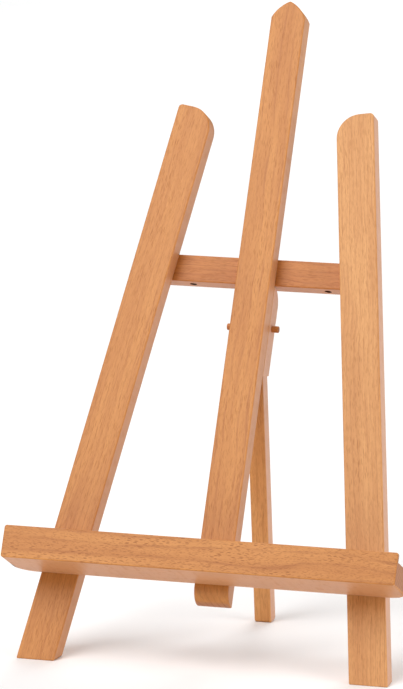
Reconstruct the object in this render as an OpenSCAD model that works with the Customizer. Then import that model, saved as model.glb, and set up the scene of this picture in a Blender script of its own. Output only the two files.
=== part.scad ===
// Tabletop A-frame display easel with a folding rear leg. Millimetres, +Z up, front towards -Y.

/* [Frame] */
// Backward lean of the front frame from vertical
lean_angle = 26; // [20:0.5:30]
// Splay of each front leg from the centre line
leg_splay = 8.7; // [6:0.1:10]
// Width of a front leg
leg_width = 29; // [24:0.5:32]
// Thickness of the front legs, mast and crossbar
stock_thickness = 15; // [13:0.5:18]
// Half distance between the leg centre lines at the underside of the ledge
leg_half_spacing = 117.5; // [110:0.5:125]
// Length of a leg above the underside of the ledge
leg_upper_length = 369.5; // [350:0.5:390]
// Radius of the shoulder on the inner side of each leg top
leg_shoulder_radius = 18; // [12:0.5:22]
// Radius of the outer corner of each leg top
leg_corner_radius = 3; // [1.5:0.5:5]
// Rounding of the long edges of the timber
edge_radius = 1; // [0.6:0.1:1.7]

/* [Mast] */
// Width of the mast
mast_width = 26.5; // [26:0.5:32]
// Height of the mast tip above the underside of the ledge
mast_upper_length = 452; // [420:1:480]
// Length of the mast below the underside of the ledge
mast_lower_length = 13.5; // [10:0.5:20]
// Height of the pointed top
mast_point_height = 13; // [10:0.5:18]
// Radius of each arc of the pointed top
mast_point_radius = 28; // [18:0.5:40]
// Radius of the front of the mast's lower end
mast_heel_radius = 13; // [8:0.5:13]

/* [Crossbar] */
// Length of the crossbar
crossbar_length = 172; // [160:1:180]
// Height of the crossbar
crossbar_height = 20.5; // [18:0.5:24]
// Height of the crossbar's lower edge above the underside of the ledge
crossbar_rise = 233.2; // [233:0.1:250]
// Distance of each peg hole from the centre line
peg_hole_offset = 52.6; // [45:0.1:60]
// Diameter of each peg hole
peg_hole_diameter = 5.4; // [5:0.1:6]
// Depth of each peg hole
peg_hole_depth = 10; // [6:0.5:14]

/* [Ledge] */
// Length of the ledge
ledge_length = 300; // [280:1:320]
// Depth of the ledge from front to back
ledge_depth = 45; // [40:0.5:50]
// Thickness of the shelf
shelf_thickness = 18; // [16:0.5:20]
// Height of the front face with its lip
lip_height = 24.5; // [22:0.5:28]
// Thickness of the lip
lip_thickness = 3.6; // [3.5:0.1:5]
// Plan radius of the two rear corners
ledge_corner_radius = 16; // [10:0.5:25]
// Radius of the corners of the front face
ledge_face_radius = 2; // [1:0.5:3]
// Height of the underside of the ledge above the floor, along the frame
ledge_rise = 66; // [55:0.5:80]

/* [Rear leg and hinge] */
// Angle of the open rear leg from vertical
rear_leg_angle = 6.8; // [5:0.1:10]
// Width of the rear leg
rear_leg_width = 13.2; // [11:0.1:13.4]
// Depth of the rear leg
rear_leg_depth = 12.2; // [11:0.1:12.4]
// Radius of the rear leg's foot corners
rear_foot_radius = 3; // [2:0.5:5]
// Length of the rear leg above the dowel axis
rear_leg_overrun = 8; // [6:0.5:12]
// Side gap between the rear leg and each cheek
hinge_side_gap = 0.4; // [0.3:0.05:0.6]
// Height of the dowel above the underside of the ledge
dowel_rise = 201.8; // [198:0.1:206]
// Distance of the dowel axis behind the mast
dowel_setback = 7.3; // [7:0.1:8]
// Diameter of the dowel
dowel_diameter = 5; // [4.5:0.1:6]
// Length of the dowel
dowel_length = 40; // [36:0.5:46]
// Distance of the dowel's middle from the centre line, positive to the right
dowel_offset = -1.5; // [-3:0.5:3]
// Radial running clearance of the rear leg on the dowel
dowel_clearance = 0.05; // [0.02:0.01:0.1]
// Depth of each cheek behind the mast
cheek_depth = 15; // [14:0.5:17]
// Height of the cheeks' top above the underside of the ledge
cheek_top_rise = 232.5; // [228:0.5:233]
// Height of the cheeks' lower end above the underside of the ledge
cheek_bottom_rise = 163.5; // [158:0.5:170]
// Rise of the cheeks' lower end from front to back
cheek_bevel = 4; // [1:0.5:6]
// Radius of the cheeks' rear upper corner
cheek_radius = 13; // [8:0.5:13]

/* [Screws] */
// Shank diameter of the frame screws
screw_diameter = 3.5; // [3:0.1:4]
// Head diameter of the frame screws
screw_head_diameter = 7; // [6:0.1:8]
// Length of the crossbar screws
crossbar_screw_length = 25; // [20:1:28]
// Length of the ledge screws
ledge_screw_length = 40; // [30:1:50]
// Distance of the mast's crossbar screws from the centre line
mast_screw_offset = 7; // [5:0.5:9]
// Shank diameter of the cheek screws
cheek_screw_diameter = 2.5; // [2:0.1:3]
// Head diameter of the cheek screws
cheek_screw_head_diameter = 5; // [4:0.1:5.5]
// Length of the cheek screws
cheek_screw_length = 25; // [20:1:28]
// Distance of each cheek screw from its end of the cheek
cheek_screw_inset = 17; // [16:0.5:20]

/* [Hidden] */
wood = [0.80, 0.56, 0.36];
steel = [0.72, 0.71, 0.68];
big = 800;
slice = 0.01;
screw_gap = 0.05;
recess_depth_ratio = 0.22;
recess_width_ratio = 0.16;
recess_span_ratio = 0.55;
head_length_ratio = 0.55;
tip_length_ratio = 1.6;
rear_tip_gap = 0.35;

shelf_z = ledge_rise;
crossbar_z = ledge_rise + crossbar_rise;
crossbar_mid_z = crossbar_z + crossbar_height / 2;
mast_bottom_z = ledge_rise - mast_lower_length;
mast_length = mast_lower_length + mast_upper_length;
peg_hole_y = stock_thickness + stock_thickness / 2;
dowel_z = ledge_rise + dowel_rise;
dowel_y = stock_thickness + dowel_setback;
cheek_bottom_z = ledge_rise + cheek_bottom_rise;
cheek_height = cheek_top_rise - cheek_bottom_rise;
cheek_width = mast_width / 2 - rear_leg_width / 2 - hinge_side_gap;
cheek_mid_x = mast_width / 2 - cheek_width / 2;
leg_x_at_crossbar = leg_half_spacing - (crossbar_rise + crossbar_height / 2) * tan(leg_splay);
leg_x_at_screw = leg_half_spacing - shelf_thickness / 2 * tan(leg_splay);
hinge_swing = lean_angle + rear_leg_angle;
dowel_floor_z = dowel_z * cos(lean_angle) - dowel_y * sin(lean_angle);
rear_leg_reach = dowel_floor_z / cos(rear_leg_angle);
ledge_front = (ledge_rise + edge_radius) * sin(lean_angle)
    - (ledge_depth - edge_radius) * cos(lean_angle) - edge_radius;
tip_back = (ledge_rise + mast_upper_length) * sin(lean_angle) + stock_thickness * cos(lean_angle);
y_centre = (ledge_front + tip_back) / 2;

$fn = 64;

// Puts geometry drawn in the frame's own plane into the standing pose.
// In that plane x runs across, y backwards through the timber and z up the frame.
module standing() {
    translate([0, -y_centre, 0])
        rotate([-lean_angle, 0, 0])
            children();
}

// Removes everything below the floor.
module above_floor() {
    intersection() {
        children();
        translate([-big / 2, -big / 2, 0])
            cube([big, big, big]);
    }
}

// Rectangle with rounded corners, its lower left corner at the origin.
module rounded_rect(size, radius) {
    translate([radius, 0])
        square([size[0] - 2 * radius, size[1]]);
    translate([0, radius])
        square([size[0], size[1] - 2 * radius]);
    for (x = [radius, size[0] - radius], y = [radius, size[1] - radius])
        translate([x, y])
            circle(r = radius);
}

// Vertical bar centred on x, its front face at y = 0.
module upright_bar(width, thickness, length) {
    translate([-width / 2, 0, 0])
        linear_extrude(length)
            rounded_rect([width, thickness], edge_radius);
}

// Extrudes an x-z outline backwards through the whole thickness.
module through_y(depth) {
    translate([0, depth, 0])
        rotate([90, 0, 0])
            linear_extrude(depth)
                children();
}

// Extrudes a y-z outline across x.
module along_x(width) {
    translate([-width / 2, 0, 0])
        rotate([90, 0, 90])
            linear_extrude(width)
                children();
}

// Countersunk screw with its head face at y = 0 and its tip towards -y.
module screw_body(length, diameter, head_diameter, gap) {
    rotate([90, 0, 0])
        rotate_extrude()
            polygon([
                [0, -gap],
                [head_diameter / 2 + gap, -gap],
                [head_diameter / 2 + gap, diameter * recess_width_ratio],
                [diameter / 2 + gap, head_diameter * head_length_ratio],
                [diameter / 2 + gap, length - diameter * tip_length_ratio],
                [0, length + gap]
            ]);
}

// Cross recess in a screw head.
module screw_recess(diameter, head_diameter) {
    depth = head_diameter * recess_depth_ratio;
    width = head_diameter * recess_width_ratio;
    span = head_diameter * recess_span_ratio;
    for (turn = [0, 90])
        rotate([0, turn, 0])
            translate([-span / 2, -depth, -width / 2])
                cube([span, 2 * depth, width]);
}

module wood_screw(length, diameter, head_diameter) {
    difference() {
        screw_body(length, diameter, head_diameter, 0);
        screw_recess(diameter, head_diameter);
    }
}

module at_crossbar_screw(x) {
    translate([x, 2 * stock_thickness, crossbar_mid_z])
        children();
}

module at_ledge_screw(x) {
    translate([x, stock_thickness, shelf_z + shelf_thickness / 2])
        children();
}

// side is -1 or 1; end is 0 for the lower screw and 1 for the upper one.
module at_cheek_screw(side, end) {
    rise = end == 0 ? cheek_screw_inset : cheek_height - cheek_screw_inset;
    translate([side * cheek_mid_x, stock_thickness + cheek_depth, cheek_bottom_z + rise])
        children();
}

module frame_screw_bore(length) {
    screw_body(length, screw_diameter, screw_head_diameter, screw_gap);
}

module cheek_screw_bore() {
    screw_body(cheek_screw_length, cheek_screw_diameter, cheek_screw_head_diameter, screw_gap);
}

// Outline of a leg's top: a small outer corner and a large inner shoulder.
module leg_outline() {
    half = leg_width / 2;
    bottom = -2 * ledge_rise;
    top = leg_upper_length;
    translate([-half, bottom])
        square([leg_width, top - leg_shoulder_radius - bottom]);
    translate([leg_shoulder_radius - half, bottom])
        square([leg_width - leg_shoulder_radius - leg_corner_radius, top - bottom]);
    translate([0, bottom])
        square([half, top - leg_corner_radius - bottom]);
    translate([leg_shoulder_radius - half, top - leg_shoulder_radius])
        circle(r = leg_shoulder_radius);
    translate([half - leg_corner_radius, top - leg_corner_radius])
        circle(r = leg_corner_radius);
}

// The front leg on the +X side, cut off at the floor and bored for its two screws.
module front_leg() {
    above_floor()
        standing()
            difference() {
                translate([leg_half_spacing, 0, shelf_z])
                    rotate([0, -leg_splay, 0])
                        intersection() {
                            translate([0, 0, -2 * ledge_rise])
                                upright_bar(leg_width, stock_thickness, big);
                            through_y(stock_thickness)
                                leg_outline();
                        }
                at_crossbar_screw(leg_x_at_crossbar)
                    frame_screw_bore(crossbar_screw_length);
                at_ledge_screw(leg_x_at_screw)
                    frame_screw_bore(ledge_screw_length);
            }
}

module left_leg() {
    color(wood)
        mirror([1, 0, 0])
            front_leg();
}

module right_leg() {
    color(wood)
        front_leg();
}

// Pointed top of the mast: two arcs that meet on the centre line.
module mast_outline() {
    half = mast_width / 2;
    shoulder = mast_length - mast_point_height;
    chord = sqrt(half * half + mast_point_height * mast_point_height);
    reach = sqrt(mast_point_radius * mast_point_radius - chord * chord / 4);
    centre_x = half / 2 - reach * mast_point_height / chord;
    centre_z = mast_point_height / 2 - reach * half / chord;
    translate([-half, 0])
        square([mast_width, shoulder]);
    intersection() {
        translate([-half, shoulder - slice])
            square([mast_width, mast_point_height + 2 * slice]);
        translate([centre_x, shoulder + centre_z])
            circle(r = mast_point_radius);
        translate([-centre_x, shoulder + centre_z])
            circle(r = mast_point_radius);
    }
}

// Side outline of the mast: the front of its lower end is rounded.
module mast_side_outline() {
    translate([0, mast_heel_radius])
        square([stock_thickness, mast_length]);
    translate([mast_heel_radius, 0])
        square([stock_thickness - mast_heel_radius, mast_length]);
    translate([mast_heel_radius, mast_heel_radius])
        circle(r = mast_heel_radius);
}

module mast() {
    color(wood)
        standing()
            difference() {
                translate([0, 0, mast_bottom_z])
                    intersection() {
                        upright_bar(mast_width, stock_thickness, mast_length);
                        through_y(stock_thickness)
                            mast_outline();
                        along_x(mast_width)
                            mast_side_outline();
                    }
                for (x = [-mast_screw_offset, mast_screw_offset])
                    at_crossbar_screw(x)
                        frame_screw_bore(crossbar_screw_length);
                at_ledge_screw(0)
                    frame_screw_bore(ledge_screw_length);
                for (side = [-1, 1], end = [0, 1])
                    at_cheek_screw(side, end)
                        cheek_screw_bore();
            }
}

module crossbar() {
    color(wood)
        standing()
            difference() {
                translate([0, stock_thickness, crossbar_z])
                    along_x(crossbar_length)
                        rounded_rect([stock_thickness, crossbar_height], edge_radius);
                for (side = [-1, 1])
                    translate([side * peg_hole_offset, peg_hole_y, crossbar_z - slice])
                        cylinder(d = peg_hole_diameter, h = peg_hole_depth + slice);
                for (x = [-leg_x_at_crossbar, -mast_screw_offset, mast_screw_offset, leg_x_at_crossbar])
                    at_crossbar_screw(x)
                        frame_screw_bore(crossbar_screw_length);
            }
}

// Plan outline of the ledge: its two rear corners are rounded.
module ledge_plan() {
    half = ledge_length / 2;
    translate([-half, -ledge_depth])
        square([ledge_length, ledge_depth - ledge_corner_radius]);
    translate([ledge_corner_radius - half, -ledge_depth])
        square([ledge_length - 2 * ledge_corner_radius, ledge_depth]);
    for (side = [-1, 1])
        translate([side * (half - ledge_corner_radius), -ledge_corner_radius])
            circle(r = ledge_corner_radius);
}

module ledge() {
    color(wood)
        standing()
            difference() {
                translate([0, 0, shelf_z])
                    intersection() {
                        along_x(ledge_length)
                            translate([-ledge_depth, 0]) {
                                rounded_rect([ledge_depth, shelf_thickness], edge_radius);
                                rounded_rect([lip_thickness, lip_height], edge_radius);
                            }
                        linear_extrude(lip_height)
                            ledge_plan();
                        translate([-ledge_length / 2, -ledge_depth, 0])
                            through_y(ledge_depth)
                                rounded_rect([ledge_length, lip_height], ledge_face_radius);
                    }
                for (x = [-leg_x_at_screw, 0, leg_x_at_screw])
                    at_ledge_screw(x)
                        frame_screw_bore(ledge_screw_length);
            }
}

// Side outline of a hinge cheek, its lower front corner at the origin.
module cheek_outline() {
    difference() {
        union() {
            square([cheek_depth, cheek_height - cheek_radius]);
            square([cheek_depth - cheek_radius, cheek_height]);
            intersection() {
                translate([cheek_depth - cheek_radius, cheek_height - cheek_radius])
                    circle(r = cheek_radius);
                square([cheek_depth, cheek_height]);
            }
        }
        polygon([[0, 0], [cheek_depth, 0], [cheek_depth, cheek_bevel]]);
    }
}

// side is -1 for the left cheek and 1 for the right one.
module hinge_cheek(side) {
    standing()
        difference() {
            translate([side * cheek_mid_x, stock_thickness, cheek_bottom_z])
                along_x(cheek_width)
                    cheek_outline();
            translate([0, dowel_y, dowel_z])
                rotate([0, 90, 0])
                    cylinder(d = dowel_diameter, h = 2 * dowel_length, center = true);
            for (end = [0, 1])
                at_cheek_screw(side, end)
                    cheek_screw_bore();
        }
}

module hinge_cheek_left() {
    color(wood)
        hinge_cheek(-1);
}

module hinge_cheek_right() {
    color(wood)
        hinge_cheek(1);
}

module hinge_dowel() {
    color(wood)
        standing()
            translate([dowel_offset, dowel_y, dowel_z])
                rotate([0, 90, 0])
                    cylinder(d = dowel_diameter, h = dowel_length, center = true);
}

// Side outline of the rear leg about the dowel axis. The front of its upper end is cut to the
// angle at which it meets the back of the mast when the leg is open.
module rear_leg_outline() {
    difference() {
        translate([-rear_leg_depth / 2, -rear_leg_reach])
            rounded_rect([rear_leg_depth, rear_leg_reach + rear_leg_overrun], rear_foot_radius);
        rotate(-hinge_swing)
            translate([-big, -big / 2])
                square([big - dowel_setback + rear_tip_gap, big]);
    }
}

module rear_leg() {
    color(wood)
        above_floor()
            standing()
                translate([0, dowel_y, dowel_z])
                    rotate([hinge_swing, 0, 0])
                        difference() {
                            intersection() {
                                along_x(rear_leg_width)
                                    rear_leg_outline();
                                translate([0, -rear_leg_depth / 2, -big / 2])
                                    upright_bar(rear_leg_width, rear_leg_depth, big);
                            }
                            rotate([0, 90, 0])
                                cylinder(
                                    d = dowel_diameter + 2 * dowel_clearance,
                                    h = 2 * dowel_length,
                                    center = true
                                );
                        }
}

module crossbar_screw(x) {
    standing()
        at_crossbar_screw(x)
            wood_screw(crossbar_screw_length, screw_diameter, screw_head_diameter);
}

module crossbar_screw_left() {
    color(steel)
        crossbar_screw(-leg_x_at_crossbar);
}

module crossbar_screw_mast_left() {
    color(steel)
        crossbar_screw(-mast_screw_offset);
}

module crossbar_screw_mast_right() {
    color(steel)
        crossbar_screw(mast_screw_offset);
}

module crossbar_screw_right() {
    color(steel)
        crossbar_screw(leg_x_at_crossbar);
}

module ledge_screw(x) {
    standing()
        at_ledge_screw(x)
            wood_screw(ledge_screw_length, screw_diameter, screw_head_diameter);
}

module ledge_screw_left() {
    color(steel)
        ledge_screw(-leg_x_at_screw);
}

module ledge_screw_mast() {
    color(steel)
        ledge_screw(0);
}

module ledge_screw_right() {
    color(steel)
        ledge_screw(leg_x_at_screw);
}

module cheek_screw(side, end) {
    standing()
        at_cheek_screw(side, end)
            wood_screw(cheek_screw_length, cheek_screw_diameter, cheek_screw_head_diameter);
}

module cheek_screw_left_lower() {
    color(steel)
        cheek_screw(-1, 0);
}

module cheek_screw_left_upper() {
    color(steel)
        cheek_screw(-1, 1);
}

module cheek_screw_right_lower() {
    color(steel)
        cheek_screw(1, 0);
}

module cheek_screw_right_upper() {
    color(steel)
        cheek_screw(1, 1);
}

left_leg();
right_leg();
mast();
crossbar();
ledge();
hinge_cheek_left();
hinge_cheek_right();
hinge_dowel();
rear_leg();
crossbar_screw_left();
crossbar_screw_mast_left();
crossbar_screw_mast_right();
crossbar_screw_right();
ledge_screw_left();
ledge_screw_mast();
ledge_screw_right();
cheek_screw_left_lower();
cheek_screw_left_upper();
cheek_screw_right_lower();
cheek_screw_right_upper();
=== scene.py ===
"""Tabletop artist easel in oiled beech, seen from its front right."""
import math
import random

import bmesh
import bpy
from mathutils import Matrix, Vector


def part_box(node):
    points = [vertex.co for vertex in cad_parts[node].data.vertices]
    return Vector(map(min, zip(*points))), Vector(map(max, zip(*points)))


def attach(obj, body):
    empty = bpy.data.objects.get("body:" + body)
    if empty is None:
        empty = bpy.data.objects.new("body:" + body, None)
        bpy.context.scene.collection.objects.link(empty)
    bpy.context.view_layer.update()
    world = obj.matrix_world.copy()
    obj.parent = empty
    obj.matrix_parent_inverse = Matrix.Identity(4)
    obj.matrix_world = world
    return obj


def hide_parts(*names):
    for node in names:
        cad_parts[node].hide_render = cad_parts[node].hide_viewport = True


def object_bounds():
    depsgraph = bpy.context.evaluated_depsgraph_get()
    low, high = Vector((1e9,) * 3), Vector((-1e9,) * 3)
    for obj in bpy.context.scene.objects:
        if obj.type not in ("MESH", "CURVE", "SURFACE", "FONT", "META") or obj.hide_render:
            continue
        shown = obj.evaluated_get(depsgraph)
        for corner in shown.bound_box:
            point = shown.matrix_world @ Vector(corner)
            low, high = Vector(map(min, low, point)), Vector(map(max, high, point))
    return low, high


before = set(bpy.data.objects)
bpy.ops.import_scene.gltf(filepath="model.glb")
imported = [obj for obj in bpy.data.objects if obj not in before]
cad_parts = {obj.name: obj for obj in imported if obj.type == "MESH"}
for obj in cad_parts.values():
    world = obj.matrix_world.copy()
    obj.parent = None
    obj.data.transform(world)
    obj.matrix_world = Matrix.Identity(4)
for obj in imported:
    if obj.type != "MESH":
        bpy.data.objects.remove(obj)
cad_low, cad_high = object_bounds()
MM = 0.001

# ---------------------------------------------------------------- CAD sizes its boxes don't give
LEAN = math.radians(26)
SPLAY = math.radians(8.7)
REAR_ANGLE = math.radians(6.8)
LEG_HALF_SPACING = 117.5 * MM
LEDGE_RISE = 66 * MM
LEG_SHOULDER_RADIUS = 18 * MM
LEG_CORNER_RADIUS = 3 * MM
MAST_POINT_HEIGHT = 13 * MM
MAST_POINT_RADIUS = 28 * MM
MAST_HEEL_RADIUS = 13 * MM
LEDGE_CORNER_RADIUS = 16 * MM
LEDGE_FACE_RADIUS = 2 * MM
SHELF_THICKNESS = 18 * MM
LIP_THICKNESS = 3.6 * MM
CHEEK_RADIUS = 13 * MM
CHEEK_BEVEL = 4 * MM
REAR_FOOT_RADIUS = 3 * MM
REAR_TIP_DISTANCE = 6.95 * MM
PEG_HOLE_OFFSET = 52.6 * MM
PEG_HOLE_RADIUS = 2.7 * MM
PEG_HOLE_DEPTH = 10 * MM
EDGE_RADIUS = 1 * MM
BORE_GAP = 0.05 * MM
FRAME_HEAD_RADIUS = 3.5 * MM
CHEEK_HEAD_RADIUS = 2.5 * MM
DOWEL_END_RADIUS = 0.5 * MM

# Screw seats, as shares of the head's radius
HEAD_RIM = 0.16
HEAD_LENGTH = 1.1
SHANK = 0.5

# ---------------------------------------------------------------- mesh settings
ARC_STEP = math.radians(6)
TURNED_SIDES = 40
ROUNDING_SEGMENTS = 4
# Vertices closer than this, in metres, become one
WELD_RINGS = 1e-7
WELD_CUTS = 1e-6
# Angles between faces: up to flat they are merged, past the others rounded or shaded as an edge
FLAT_ANGLE = math.radians(0.5)
ROUNDED_ANGLE = math.radians(30)
SHARP_ANGLE = math.radians(40)
# Material slot of the walls of holes
BORE_FACES = 1
# How far a cutter reaches, as a multiple of the size it has to pass
OVERCUT = 2
CHEEK_OVERCUT = 1.5
QUARTER_TURN = math.radians(90)


# ---------------------------------------------------------------- places taken from the CAD
def local_box(node, matrix):
    """Lowest and highest corner of a CAD node in the matrix's own coordinates."""
    inverse = matrix.inverted()
    points = [inverse @ v.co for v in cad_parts[node].data.vertices]
    low = Vector([min(p[i] for p in points) for i in range(3)])
    high = Vector([max(p[i] for p in points) for i in range(3)])
    return low, high


# Plane of the front frame: x across, y back through the timber, z up the frame.
tilt = Matrix.Rotation(-LEAN, 4, "X")
setback = -local_box("mast", tilt)[0].y / math.cos(LEAN)
PLANE = Matrix.Translation((0, -setback, 0)) @ tilt

dowel_low, dowel_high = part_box("hinge_dowel")
dowel_centre = (dowel_low + dowel_high) / 2
dowel_radius = (dowel_high.z - dowel_low.z) / 2
hinge_centre = Vector((0, dowel_centre.y, dowel_centre.z))
REAR = Matrix.Translation(hinge_centre) @ Matrix.Rotation(REAR_ANGLE, 4, "X")


def leg_matrix(side):
    """A front leg's own frame; side is -1 for the left leg and 1 for the right one."""
    shift = Matrix.Translation((side * LEG_HALF_SPACING, 0, LEDGE_RISE))
    return PLANE @ shift @ Matrix.Rotation(-side * SPLAY, 4, "Y")


def floor_height(matrix, x, y):
    """The local z at which the line (x, y) of a piece meets the floor."""
    base = (matrix @ Vector((x, y, 0))).z
    rise = (matrix.to_3x3() @ Vector((0, 0, 1))).z
    return -base / rise


# ---------------------------------------------------------------- mesh building
def arc(centre, radius, start, end):
    """Points on an arc, in degrees, both ends included."""
    span = math.radians(end - start)
    count = max(2, int(round(abs(span) / ARC_STEP)))
    points = []
    for i in range(count + 1):
        angle = math.radians(start) + span * i / count
        points.append((centre[0] + radius * math.cos(angle), centre[1] + radius * math.sin(angle)))
    return points


def solid_from_rings(rings):
    """A closed bmesh through rings of equally many points; the first and last ring are capped."""
    bm = bmesh.new()
    loops = [[bm.verts.new(p) for p in ring] for ring in rings]
    for a, b in zip(loops, loops[1:]):
        for i in range(len(a)):
            j = (i + 1) % len(a)
            bm.faces.new((a[i], a[j], b[j], b[i]))
    bm.faces.new(list(reversed(loops[0])))
    bm.faces.new(loops[-1])
    bmesh.ops.remove_doubles(bm, verts=bm.verts, dist=WELD_RINGS)
    bmesh.ops.recalc_face_normals(bm, faces=bm.faces)
    return bm


def prism(outline, axis, start, end):
    """An outline drawn square to an axis (0, 1 or 2) and carried along it."""
    rings = []
    for along in (start, end):
        ring = []
        for point in outline:
            place = list(point)
            place.insert(axis, along)
            ring.append(place)
        rings.append(ring)
    return solid_from_rings(rings)


def turned(profile):
    """A solid of revolution about local z; the profile is (radius, z) from end to end."""
    rings = []
    for radius, z in profile:
        ring = []
        for i in range(TURNED_SIDES):
            angle = 2 * math.pi * i / TURNED_SIDES
            ring.append((radius * math.cos(angle), radius * math.sin(angle), z))
        rings.append(ring)
    return solid_from_rings(rings)


def loose_object(bm):
    """A throwaway object with one material slot for outer faces and one for bores."""
    mesh = bpy.data.meshes.new("loose")
    mesh.materials.append(None)
    mesh.materials.append(None)
    bm.to_mesh(mesh)
    bm.free()
    made = bpy.data.objects.new("loose", mesh)
    bpy.context.scene.collection.objects.link(made)
    return made


def combine(a, b, operation):
    """The exact Boolean of two closed bmeshes."""
    base, tool = loose_object(a), loose_object(b)
    modifier = base.modifiers.new("combine", "BOOLEAN")
    modifier.operation = operation
    modifier.solver = "EXACT"
    modifier.object = tool
    bpy.context.view_layer.update()
    graph = bpy.context.evaluated_depsgraph_get()
    result = bpy.data.meshes.new_from_object(base.evaluated_get(graph))
    bm = bmesh.new()
    bm.from_mesh(result)
    for used in (base, tool):
        mesh = used.data
        bpy.data.objects.remove(used)
        bpy.data.meshes.remove(mesh)
    bpy.data.meshes.remove(result)
    return bm


def common(a, b):
    """What two solids share, with its flat faces left whole."""
    bm = combine(a, b, "INTERSECT")
    bmesh.ops.remove_doubles(bm, verts=bm.verts, dist=WELD_CUTS)
    bmesh.ops.dissolve_limit(bm, angle_limit=FLAT_ANGLE, verts=bm.verts, edges=bm.edges)
    return bm


def round_edges(bm, radius):
    """Rounds every sharp convex edge, as a router does."""
    edges = []
    for e in bm.edges:
        if len(e.link_faces) == 2 and e.is_convex and e.calc_face_angle() > ROUNDED_ANGLE:
            edges.append(e)
    bmesh.ops.bevel(
        bm, geom=edges, offset=radius, offset_type="OFFSET", segments=ROUNDING_SEGMENTS,
        profile=0.5, affect="EDGES", clamp_overlap=False,
    )


def screw_seat(node, head_radius):
    """The countersunk seat of a screw, placed where its CAD node is."""
    low, high = local_box(node, PLANE)
    place = PLANE @ Matrix.Translation(((low.x + high.x) / 2, high.y, (low.z + high.z) / 2))
    rim = head_radius + BORE_GAP
    shank = head_radius * SHANK + BORE_GAP
    seat = turned([
        (rim, -MM),
        (rim, head_radius * HEAD_RIM),
        (shank, head_radius * HEAD_LENGTH),
        (shank, 2 * head_radius),
    ])
    seat.transform(place @ Matrix.Rotation(QUARTER_TURN, 4, "X"))
    return seat


def dowel_bore(half_length):
    """The hole for the dowel, across the hinge."""
    radius = dowel_radius + BORE_GAP
    bore = turned([(radius, -half_length), (radius, half_length)])
    bore.transform(Matrix.Translation(hinge_centre) @ Matrix.Rotation(QUARTER_TURN, 4, "Y"))
    return bore


def place_piece(bm, node, matrix, material, body="frame", holes=()):
    """Turns a local bmesh into the shown piece that stands for a CAD node."""
    bm.transform(matrix)
    for hole in holes:
        for face in hole.faces:
            face.material_index = BORE_FACES
        bm = combine(bm, hole, "DIFFERENCE")
    for face in bm.faces:
        face.smooth = True
    for e in bm.edges:
        if len(e.link_faces) == 2 and e.calc_face_angle() > SHARP_ANGLE:
            e.smooth = False
    mesh = bpy.data.meshes.new(node + "_timber")
    bm.to_mesh(mesh)
    bm.free()
    mesh.materials.append(material)
    if holes:
        mesh.materials.append(bore_shade)
    piece = bpy.data.objects.new(node + "_timber", mesh)
    bpy.context.scene.collection.objects.link(piece)
    even = piece.modifiers.new("even_shading", "WEIGHTED_NORMAL")
    even.mode = "FACE_AREA"
    even.weight = 100
    even.keep_sharp = True
    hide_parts(node)
    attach(piece, body)


# ---------------------------------------------------------------- materials
# Noise scales in cycles per mm: across, through and along the grain
SLOW_BEND = (0.02, 0.02, 0.006)
RIPPLE = (0.12, 0.12, 0.028)
LINE_PATCHES = (0.3, 0.3, 0.03)
BROAD_TONE = (0.10, 0.10, 0.006)
FIBRES = (1.9, 1.9, 0.075)
MOTTLE = (0.55, 0.55, 0.12)
FLECK_CROWDS = (0.07, 0.07, 0.016)
# Patches of the painted highlight on the rounded edges
EDGE_HIGHLIGHT_PATCHES = (0.2, 0.2, 0.06)
END_PORES = (2.6, 2.6, 0.4)
# How far the bends and ripples push the grain sideways, in mm
BEND_REACH = 14
RIPPLE_REACH = 2.4
# Fleck widths in mm, and the step that sets the small flecks apart from the large
LARGE_FLECK = 1.15
SMALL_FLECK = 0.7
SMALL_FLECK_STEP = (37, 0, 91)
# How far along the grain a timber's pattern may be shifted, in mm
PATTERN_REACH = 4000
# How strongly each layer tints the timber
LINE_TINT = 0.60
FIBRE_TINT = 0.34
MOTTLE_TINT = 0.16
FLECK_TINT = 0.50
# Painted sheen: how strongly the side faces and undersides are painted paler and bluer
PAINTED_SHEEN_TINT = 0.65
# Painted highlight: how strongly the rounded edges are painted lighter
EDGE_HIGHLIGHT_TINT = 0.30
END_LINE_TINT = 0.75
END_PORE_TINT = 0.4
END_TINT = 0.85
# Metres to mm on all three axes
TO_MM = (1000, 1000, 1000)


def srgb(r, g, b):
    """A linear colour from sRGB values of 0 to 255."""
    def linear(c):
        c /= 255
        return c / 12.92 if c <= 0.04045 else ((c + 0.055) / 1.055) ** 2.4
    return (linear(r), linear(g), linear(b), 1)


def shade(colour, r, g, b):
    """A colour with each of its channels multiplied."""
    return (colour[0] * r, colour[1] * g, colour[2] * b, 1)


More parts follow.
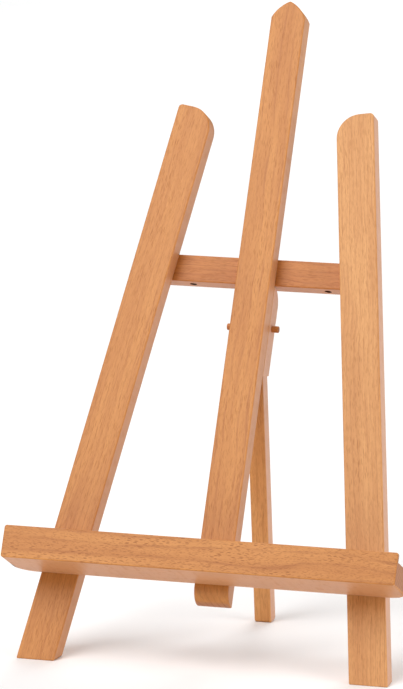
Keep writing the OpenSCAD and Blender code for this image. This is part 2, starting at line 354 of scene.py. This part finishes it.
class Graph:
    """A material's node tree and the few operations used here."""

    def __init__(self, name):
        self.material = bpy.data.materials.new(name)
        self.material.use_nodes = True
        self.tree = self.material.node_tree
        self.tree.nodes.clear()

    def put(self, node, key, value):
        """Links a socket into an input, or sets the input to a constant."""
        socket = node.inputs[key]
        if isinstance(value, bpy.types.NodeSocket):
            self.tree.links.new(value, socket)
        else:
            socket.default_value = value

    def node(self, kind, **inputs):
        """A new node; each keyword names an input, with _ for a space."""
        made = self.tree.nodes.new(kind)
        for key, value in inputs.items():
            self.put(made, key.replace("_", " "), value)
        return made

    def math(self, operation, a, b=0.0, clamp=False):
        made = self.tree.nodes.new("ShaderNodeMath")
        made.operation = operation
        made.use_clamp = clamp
        self.put(made, 0, a)
        self.put(made, 1, b)
        return made.outputs[0]

    def times(self, a, b):
        return self.math("MULTIPLY", a, b)

    def vector(self, operation, a, b=(0, 0, 0)):
        made = self.tree.nodes.new("ShaderNodeVectorMath")
        made.operation = operation
        self.put(made, 0, a)
        self.put(made, 1, b)
        return made.outputs["Value" if operation in ("DOT_PRODUCT", "LENGTH") else "Vector"]

    def scaled(self, point, scale):
        return self.vector("MULTIPLY", point, scale)

    def object_mm(self):
        """The piece's own coordinates in mm."""
        return self.scaled(self.node("ShaderNodeTexCoord").outputs["Object"], TO_MM)

    def bump(self, height, strength, depth):
        """The normal for a relief; depth is in metres."""
        made = self.node("ShaderNodeBump", Height=height)
        made.inputs["Strength"].default_value = strength
        made.inputs["Distance"].default_value = depth
        return made.outputs["Normal"]

    def finished(self, **inputs):
        """The material, ended in one Principled shader with these inputs."""
        shader = self.node("ShaderNodeBsdfPrincipled", **inputs)
        self.node("ShaderNodeOutputMaterial", Surface=shader.outputs["BSDF"])
        return self.material

    def noise(self, point, detail=2.0, rough=0.5):
        made = self.tree.nodes.new("ShaderNodeTexNoise")
        self.put(made, "Vector", point)
        made.inputs["Scale"].default_value = 1.0
        made.inputs["Detail"].default_value = detail
        made.inputs["Roughness"].default_value = rough
        return made

    def wander(self, point, scale, reach):
        """A point pushed about sideways by a smooth noise."""
        push = self.noise(self.scaled(point, scale)).outputs["Color"]
        push = self.vector("SUBTRACT", push, (0.5, 0.5, 0.5))
        return self.vector("ADD", point, self.scaled(push, (reach, reach, 0)))

    def split(self, vector):
        made = self.node("ShaderNodeSeparateXYZ", Vector=vector)
        return made.outputs["X"], made.outputs["Y"], made.outputs["Z"]

    def join(self, x, y, z=0.0):
        return self.node("ShaderNodeCombineXYZ", X=x, Y=y, Z=z).outputs["Vector"]

    def ramp(self, value, *stops):
        """A smooth curve through (position, level) stops."""
        made = self.tree.nodes.new("ShaderNodeValToRGB")
        made.color_ramp.interpolation = "EASE"
        elements = made.color_ramp.elements
        while len(elements) < len(stops):
            elements.new(0.5)
        for element, (position, level) in zip(elements, stops):
            element.position = position
            element.color = (level, level, level, 1)
        self.put(made, "Fac", value)
        return made.outputs["Color"]

    def mix(self, factor, a, b):
        made = self.tree.nodes.new("ShaderNodeMix")
        made.data_type = "RGBA"
        self.put(made, 0, factor)
        self.put(made, 6, a)
        self.put(made, 7, b)
        return made.outputs[2]

    def dashes(self, point, width, length, bare):
        """Short marks that run along the grain; bare is the share of cells without one."""
        x, _, z = self.split(self.scaled(point, (1 / width, 1, 1 / length)))
        cells = self.tree.nodes.new("ShaderNodeTexVoronoi")
        cells.voronoi_dimensions = "2D"
        cells.inputs["Scale"].default_value = 1.0
        self.put(cells, "Vector", self.join(x, z))
        mark = self.ramp(cells.outputs["Distance"], (0.0, 1.0), (0.16, 0.8), (0.30, 0.0))
        pick = self.node("ShaderNodeSeparateColor", Color=cells.outputs["Color"]).outputs[0]
        return self.times(mark, self.ramp(pick, (bare, 0.0), (min(bare + 0.4, 1.0), 1.0)))


def beech(name, matrix, seed, light, pith, grain_axis=2, ring=3.4, lines=1.0, flecks=1.0,
          fleck_length=11):
    """Oiled beech as a solid texture.

    matrix is the timber's own frame, light its palest tone, pith the ring centre in mm across and
    through the timber, and ring the ring spacing in mm. lines and flecks weaken or strengthen the
    late-wood lines and the flecks, and fleck_length is the spacing of flecks along the grain.
    """
    g = Graph(name)
    inverse = matrix.inverted()
    coords = g.node("ShaderNodeTexCoord")
    place = g.node("ShaderNodeMapping", Vector=coords.outputs["Object"])
    place.inputs["Location"].default_value = inverse.translation
    place.inputs["Rotation"].default_value = inverse.to_euler("XYZ")
    x, y, z = g.split(g.scaled(place.outputs["Vector"], TO_MM))
    across, along = (x, z) if grain_axis == 2 else (z, x)
    shift = random.Random(seed).uniform(-PATTERN_REACH, PATTERN_REACH)
    point = g.vector("ADD", g.join(across, y, along), (0, 0, shift))

    # Slow bends of the grain, then small ripples
    bent = g.wander(point, SLOW_BEND, BEND_REACH)
    bent = g.wander(bent, RIPPLE, RIPPLE_REACH)

    # Growth rings about the pith, drawn as thin late-wood lines that come and go
    spoke = g.scaled(g.vector("SUBTRACT", bent, (pith[0], pith[1], 0)), (1, 1, 0))
    turns = g.times(g.vector("LENGTH", spoke), 1 / ring)
    late = g.ramp(
        g.math("FRACT", turns),
        (0.0, 0.25), (0.12, 0.0), (0.62, 0.12), (0.90, 1.0), (1.0, 0.25),
    )
    patch = g.noise(g.scaled(bent, LINE_PATCHES)).outputs["Fac"]
    late_line = g.times(late, g.ramp(patch, (0.32, 0.15), (0.68, 1.0)))

    # Tone drifting over the board, and fine fibres
    broad = g.noise(g.scaled(bent, BROAD_TONE), 3.0, 0.6).outputs["Fac"]
    fibre = g.noise(g.scaled(bent, FIBRES), 4.0, 0.72).outputs["Fac"]
    mottle = g.noise(g.scaled(point, MOTTLE), 3.0, 0.6).outputs["Fac"]

    # Ray flecks: dark dashes on the broad faces
    crowd = g.noise(g.scaled(point, FLECK_CROWDS)).outputs["Fac"]
    crowd = g.ramp(crowd, (0.34, 0.4), (0.66, 1.0))
    large = g.times(g.dashes(bent, LARGE_FLECK, fleck_length, 0.2), crowd)
    aside = g.vector("ADD", bent, SMALL_FLECK_STEP)
    small = g.dashes(aside, SMALL_FLECK, fleck_length / 2, 0.3)
    marks = g.math("MAXIMUM", large, g.times(small, 0.6))

    # End grain, the side faces with a painted sheen that makes them paler, and the rounded edges
    # with a painted highlight in patches
    turn = matrix.to_3x3()
    faces = []
    for column in turn.col:
        facing = g.vector("DOT_PRODUCT", coords.outputs["Normal"], column.normalized())
        faces.append(g.math("ABSOLUTE", facing))
    cut_across = g.ramp(faces[grain_axis], (0.80, 0.0), (0.97, 1.0))
    broad_face = g.ramp(faces[1], (0.3, 0.3), (0.8, 1.0))
    flat = g.math("MAXIMUM", g.math("MAXIMUM", faces[0], faces[1]), faces[2])
    edge = g.ramp(g.math("SUBTRACT", 1.0, flat), (0.02, 0.0), (0.22, 1.0))
    patch = g.noise(g.scaled(point, EDGE_HIGHLIGHT_PATCHES)).outputs["Fac"]
    painted_edge_highlight = g.times(edge, g.ramp(patch, (0.35, 0.2), (0.65, 1.0)))
    painted_side_sheen = g.ramp(faces[2 - grain_axis], (0.80, 0.0), (0.95, 1.0))

    # Long grain: its tones, then its marks
    dark = shade(light, 0.84, 0.76, 0.68)
    deep = shade(light, 0.62, 0.48, 0.38)
    fleck = shade(light, 0.40, 0.26, 0.18)
    base = g.mix(g.ramp(broad, (0.30, 0.0), (0.70, 1.0)), light, dark)
    base = g.mix(g.times(late_line, LINE_TINT * lines), base, deep)
    base = g.mix(g.times(g.ramp(fibre, (0.38, 0.0), (0.72, 1.0)), FIBRE_TINT), base, deep)
    base = g.mix(g.times(g.ramp(mottle, (0.45, 0.0), (0.75, 1.0)), MOTTLE_TINT), base, deep)
    base = g.mix(g.times(g.times(marks, broad_face), FLECK_TINT * flecks), base, fleck)
    # Painted sheen: side faces (undersides on the ledge and crossbar) paler and bluer, as if
    # catching the bright surroundings
    base = g.mix(g.times(painted_side_sheen, PAINTED_SHEEN_TINT), base, shade(light, 0.98, 1.14, 2.40))
    # Painted highlight: the rounded edges lighter, in patches
    base = g.mix(g.times(painted_edge_highlight, EDGE_HIGHLIGHT_TINT), base, shade(light, 1.06, 1.08, 1.12))

    # End grain: greyer, with open pores
    pale_end = shade(light, 0.70, 0.74, 1.60)
    dark_end = shade(light, 0.46, 0.42, 0.75)
    pore = shade(light, 0.36, 0.28, 0.26)
    pores = g.noise(g.scaled(point, END_PORES)).outputs["Fac"]
    end = g.mix(g.times(late, END_LINE_TINT), pale_end, dark_end)
    end = g.mix(g.times(g.ramp(pores, (0.5, 0.0), (0.7, 1.0)), END_PORE_TINT), end, pore)
    colour = g.mix(g.times(cut_across, END_TINT), base, end)

    # Fibres, flecks and end grain are less glossy; fibres stand up and flecks sink in
    rough = g.math("ADD", g.times(fibre, 0.14), g.times(marks, 0.12))
    rough = g.math("ADD", rough, g.times(cut_across, 0.20))
    rough = g.math("ADD", rough, 0.36, clamp=True)
    height = g.math("SUBTRACT", g.times(fibre, 0.6), g.times(marks, 0.7))
    normal = g.bump(height, strength=0.5, depth=0.08 * MM)
    return g.finished(Base_Color=colour, Roughness=rough, Normal=normal, Specular_IOR_Level=0.4)


def bore_shade_wood():
    """Wood for the walls of holes, painted dark as the shade deep inside them."""
    g = Graph("bore_shade_wood")
    torn = g.noise(g.scaled(g.object_mm(), (1.6, 1.6, 1.6)), 3.0).outputs["Fac"]
    # Painted shade: dark browns that stand for the shade inside a hole
    colour = g.mix(g.ramp(torn, (0.35, 0.0), (0.7, 1.0)), srgb(98, 56, 34), srgb(58, 32, 20))
    rough = g.math("ADD", g.times(torn, 0.2), 0.7)
    normal = g.bump(torn, strength=0.6, depth=0.1 * MM)
    return g.finished(Base_Color=colour, Roughness=rough, Normal=normal, Specular_IOR_Level=0.2)


def zinc_steel():
    """Zinc-plated steel with a faint cloudy bloom."""
    g = Graph("zinc_steel")
    point = g.object_mm()
    fine = g.noise(g.scaled(point, (3, 3, 3)), 3.0).outputs["Fac"]
    cloud = g.noise(g.scaled(point, (0.7, 0.7, 0.7))).outputs["Fac"]
    bloom = g.ramp(cloud, (0.35, 0.0), (0.7, 1.0))
    colour = g.mix(bloom, srgb(206, 203, 192), srgb(170, 169, 163))
    rough = g.math("ADD", g.times(fine, 0.25), 0.22)
    normal = g.bump(fine, strength=0.3, depth=0.04 * MM)
    return g.finished(Base_Color=colour, Roughness=rough, Normal=normal, Metallic=1.0)


def studio_white():
    """Matt white paint, very slightly uneven."""
    g = Graph("studio_white")
    place = g.node("ShaderNodeTexCoord").outputs["Object"]
    cloud = g.noise(g.scaled(place, (3, 3, 3))).outputs["Fac"]
    colour = g.mix(cloud, (0.90, 0.90, 0.90, 1), (0.93, 0.93, 0.93, 1))
    return g.finished(Base_Color=colour, Roughness=0.9, Specular_IOR_Level=0.1)


# ---------------------------------------------------------------- timber
HONEY = srgb(207, 139, 70)
PALE = srgb(218, 157, 94)
TAN = srgb(199, 126, 58)
bore_shade = bore_shade_wood()


def build_leg(side):
    """A front leg, its inner shoulder rounded and its foot cut level with the floor."""
    name = "right" if side > 0 else "left"
    node = name + "_leg"
    matrix = leg_matrix(side)
    low, high = local_box(node, matrix)
    half = (high.x - low.x) / 2
    outer, inner = LEG_CORNER_RADIUS, LEG_SHOULDER_RADIUS
    outline = arc((half - outer, high.z - outer), outer, 0, 90)
    outline += arc((inner - half, high.z - inner), inner, 90, 180)
    rings = []
    for y in (0, high.y):
        ring = [(side * x, y, z) for x, z in outline]
        ring.append((-side * half, y, floor_height(matrix, -side * half, y)))
        ring.append((side * half, y, floor_height(matrix, side * half, y)))
        rings.append(ring)
    bm = solid_from_rings(rings)
    round_edges(bm, EDGE_RADIUS)
    if side > 0:
        material = beech("beech_right_leg", matrix, 12, PALE, (74, 26), ring=2.9)
    else:
        material = beech("beech_left_leg", matrix, 10, HONEY, (-80, 44), lines=0.7)
    seat = screw_seat("ledge_screw_" + name, FRAME_HEAD_RADIUS)
    place_piece(bm, node, matrix, material, holes=[seat])


def build_mast():
    """The centre upright, with a pointed top and a rounded lower front end."""
    low, high = local_box("mast", PLANE)
    half, depth, length = (high.x - low.x) / 2, high.y, high.z - low.z
    matrix = PLANE @ Matrix.Translation((0, 0, low.z))
    shoulder = length - MAST_POINT_HEIGHT
    # Each arc of the point runs from the shoulder to the tip; the chord joins those two.
    chord = math.hypot(half, MAST_POINT_HEIGHT)
    reach = math.sqrt(MAST_POINT_RADIUS ** 2 - chord ** 2 / 4)
    centre_x = half / 2 - reach * MAST_POINT_HEIGHT / chord
    centre_z = MAST_POINT_HEIGHT / 2 - reach * half / chord
    start = math.degrees(math.atan2(-centre_z, half - centre_x))
    end = math.degrees(math.atan2(MAST_POINT_HEIGHT - centre_z, -centre_x))
    right = arc((centre_x, shoulder + centre_z), MAST_POINT_RADIUS, start, end)
    front = right + [(-x, z) for x, z in reversed(right[:-1])] + [(-half, 0), (half, 0)]
    side = arc((MAST_HEEL_RADIUS, MAST_HEEL_RADIUS), MAST_HEEL_RADIUS, 180, 270)
    side += [(depth, 0), (depth, OVERCUT * length), (0, OVERCUT * length)]
    bm = common(prism(front, 1, 0, depth), prism(side, 0, -OVERCUT * half, OVERCUT * half))
    round_edges(bm, EDGE_RADIUS)
    material = beech("beech_mast", matrix, 5, HONEY, (-58, 34), ring=4.2)
    seat = screw_seat("ledge_screw_mast", FRAME_HEAD_RADIUS)
    place_piece(bm, "mast", matrix, material, holes=[seat])


def build_crossbar():
    """The bar behind the uprights, with two peg holes in its underside."""
    low, high = local_box("crossbar", PLANE)
    matrix = PLANE @ Matrix.Translation((0, low.y, low.z))
    half, depth, height = (high.x - low.x) / 2, high.y - low.y, high.z - low.z
    bm = prism([(0, 0), (depth, 0), (depth, height), (0, height)], 0, -half, half)
    round_edges(bm, EDGE_RADIUS)
    holes = []
    for side in (-1, 1):
        hole = turned([(PEG_HOLE_RADIUS, -2 * MM), (PEG_HOLE_RADIUS, PEG_HOLE_DEPTH)])
        hole.transform(matrix @ Matrix.Translation((side * PEG_HOLE_OFFSET, depth / 2, 0)))
        holes.append(hole)
    for name in ("left", "mast_left", "mast_right", "right"):
        holes.append(screw_seat("crossbar_screw_" + name, FRAME_HEAD_RADIUS))
    material = beech("beech_crossbar", matrix, 23, TAN, (46, 40), grain_axis=0,
                     fleck_length=10)
    place_piece(bm, "crossbar", matrix, material, holes=holes)


def build_ledge():
    """The shelf and its front lip in one piece, its rear corners rounded in plan."""
    low, high = local_box("ledge", PLANE)
    matrix = PLANE @ Matrix.Translation((0, high.y, low.z))
    half, depth, lip = (high.x - low.x) / 2, high.y - low.y, high.z - low.z
    lip_back = LIP_THICKNESS - depth
    section = [(-depth, 0), (0, 0), (0, SHELF_THICKNESS), (lip_back, SHELF_THICKNESS)]
    section += [(lip_back, lip), (-depth, lip)]
    corner = LEDGE_CORNER_RADIUS
    right = arc((half - corner, -corner), corner, 0, 90)
    left = [(-x, y) for x, y in reversed(right)]
    plan = [(half, -OVERCUT * depth)] + right + left + [(-half, -OVERCUT * depth)]
    inset = LEDGE_FACE_RADIUS
    face = arc((half - inset, lip - inset), inset, 0, 90)
    face += arc((inset - half, lip - inset), inset, 90, 180)
    face += arc((inset - half, inset), inset, 180, 270)
    face += arc((half - inset, inset), inset, 270, 360)
    bm = prism(section, 0, -OVERCUT * half, OVERCUT * half)
    bm = common(bm, prism(plan, 2, -lip, OVERCUT * lip))
    bm = common(bm, prism(face, 1, -OVERCUT * depth, depth))
    round_edges(bm, EDGE_RADIUS)
    material = beech("beech_ledge", matrix, 31, HONEY, (-30, 46), grain_axis=0, ring=3.8,
                     lines=1.3, flecks=1.8, fleck_length=6.5)
    place_piece(bm, "ledge", matrix, material)


def build_cheek(side):
    """One of the two blocks behind the mast that hold the dowel."""
    name = "right" if side > 0 else "left"
    node = "hinge_cheek_" + name
    low, high = local_box(node, PLANE)
    matrix = PLANE @ Matrix.Translation(((low.x + high.x) / 2, low.y, low.z))
    half, depth, height = (high.x - low.x) / 2, high.y - low.y, high.z - low.z
    outline = arc((depth - CHEEK_RADIUS, height - CHEEK_RADIUS), CHEEK_RADIUS, 0, 90)
    outline += [(0, height), (0, 0), (depth, CHEEK_BEVEL)]
    bm = prism(outline, 0, -half, half)
    round_edges(bm, EDGE_RADIUS / 2)
    holes = [dowel_bore(CHEEK_OVERCUT * (dowel_high.x - dowel_low.x))]
    for end in ("lower", "upper"):
        holes.append(screw_seat("cheek_screw_" + name + "_" + end, CHEEK_HEAD_RADIUS))
    material = beech("beech_" + node, matrix, 41 + side, PALE, (40, 12), lines=0.6)
    place_piece(bm, node, matrix, material, holes=holes)


def build_dowel():
    """The hinge's pin, with its ends eased."""
    matrix = Matrix.Translation(dowel_centre) @ Matrix.Rotation(QUARTER_TURN, 4, "Y")
    half = (dowel_high.x - dowel_low.x) / 2
    ease = DOWEL_END_RADIUS
    top = arc((dowel_radius - ease, half - ease), ease, 90, 0)
    bm = turned(top + [(radius, -z) for radius, z in reversed(top)])
    material = beech("beech_dowel", matrix, 57, TAN, (0.6, 14), ring=1.6)
    place_piece(bm, "hinge_dowel", matrix, material)


def build_rear_leg():
    """The leg that folds, its foot cut level with the floor as it stands open."""
    low, high = local_box("rear_leg", REAR)
    half_width, half = (high.x - low.x) / 2, (high.y - low.y) / 2
    corner = REAR_FOOT_RADIUS
    # The front of the top is cut by the back of the mast when the leg is open.
    swing = LEAN + REAR_ANGLE
    cut_y = (high.z * math.sin(swing) - REAR_TIP_DISTANCE) / math.cos(swing)
    cut_z = (REAR_TIP_DISTANCE - half * math.cos(swing)) / math.sin(swing)
    outline = arc((half - corner, high.z - corner), corner, 0, 90)
    outline += [(cut_y, high.z), (-half, cut_z)]
    outline += arc((corner - half, low.z + corner), corner, 180, 270)
    outline += arc((half - corner, low.z + corner), corner, 270, 360)
    rings = []
    for x in (-half_width, half_width):
        ring = []
        for y, z in outline:
            ring.append((x, y, max(z, floor_height(REAR, x, y))))
        rings.append(ring)
    bm = solid_from_rings(rings)
    round_edges(bm, EDGE_RADIUS)
    material = beech("beech_rear_leg", REAR, 67, PALE, (34, 38))
    bore = dowel_bore(OVERCUT * half_width)
    place_piece(bm, "rear_leg", REAR, material, body="rear_leg", holes=[bore])


for leg_side in (-1, 1):
    build_leg(leg_side)
    build_cheek(leg_side)
build_mast()
build_crossbar()
build_ledge()
build_dowel()
build_rear_leg()

steel = zinc_steel()
for node_name, node_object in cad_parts.items():
    if "screw" in node_name:
        for material_slot in node_object.material_slots:
            material_slot.material = steel


# ---------------------------------------------------------------- stage, light and camera
FLOOR_REACH = 7.0
WORLD_STRENGTH = 0.28
CAMERA_PLACE = (1.13316, -3.70864, 0.98222)
CAMERA_AZIMUTH = math.radians(17.48)
CAMERA_ELEVATION = math.radians(11.08)
FOCAL_LENGTH = 278.2
SENSOR_WIDTH = 36
CLIP_END = 50


def build_stage():
    """A flat pale floor, open on all sides so that nothing hides the easel from behind."""
    bm = bmesh.new()
    signs = [(-1, -1), (1, -1), (1, 1), (-1, 1)]
    bm.faces.new([bm.verts.new((x * FLOOR_REACH, y * FLOOR_REACH, 0)) for x, y in signs])
    mesh = bpy.data.meshes.new("studio_floor")
    bm.to_mesh(mesh)
    bm.free()
    mesh.materials.append(studio_white())
    floor = bpy.data.objects.new("studio_floor", mesh)
    bpy.context.scene.collection.objects.link(floor)


def area_light(name, place, size, power, target):
    """A square softbox at place, turned towards target."""
    data = bpy.data.lights.new(name, "AREA")
    data.shape = "SQUARE"
    data.size = size
    data.energy = power
    light = bpy.data.objects.new(name, data)
    light.location = place
    aim = Vector(target) - Vector(place)
    light.rotation_euler = aim.to_track_quat("-Z", "Y").to_euler()
    bpy.context.scene.collection.objects.link(light)


build_stage()
middle = (cad_low + cad_high) / 2
area_light("key", place=(-1.1, -1.75, 2.45), size=2.2, power=75, target=middle)
area_light("fill_right", place=(2.4, -0.5, 1.0), size=1.6, power=26, target=middle)
area_light("top", place=(0.0, 0.3, 2.6), size=2.0, power=10, target=middle)
area_light("far_floor", place=(0.0, 4.0, 3.0), size=2.4, power=110, target=(0, 2.6, 0))

world = bpy.data.worlds.new("studio")
world.use_nodes = True
background = world.node_tree.nodes["Background"]
background.inputs["Color"].default_value = (1, 1, 1, 1)
background.inputs["Strength"].default_value = WORLD_STRENGTH
bpy.context.scene.world = world
bpy.context.scene.view_settings.view_transform = "Standard"

camera_data = bpy.data.cameras.new("camera")
camera_data.sensor_width = SENSOR_WIDTH
camera_data.lens = FOCAL_LENGTH
camera_data.clip_end = CLIP_END
camera = bpy.data.objects.new("camera", camera_data)
camera.location = CAMERA_PLACE
camera.rotation_euler = (QUARTER_TURN - CAMERA_ELEVATION, 0, CAMERA_AZIMUTH)
bpy.context.scene.collection.objects.link(camera)
bpy.context.scene.camera = camera
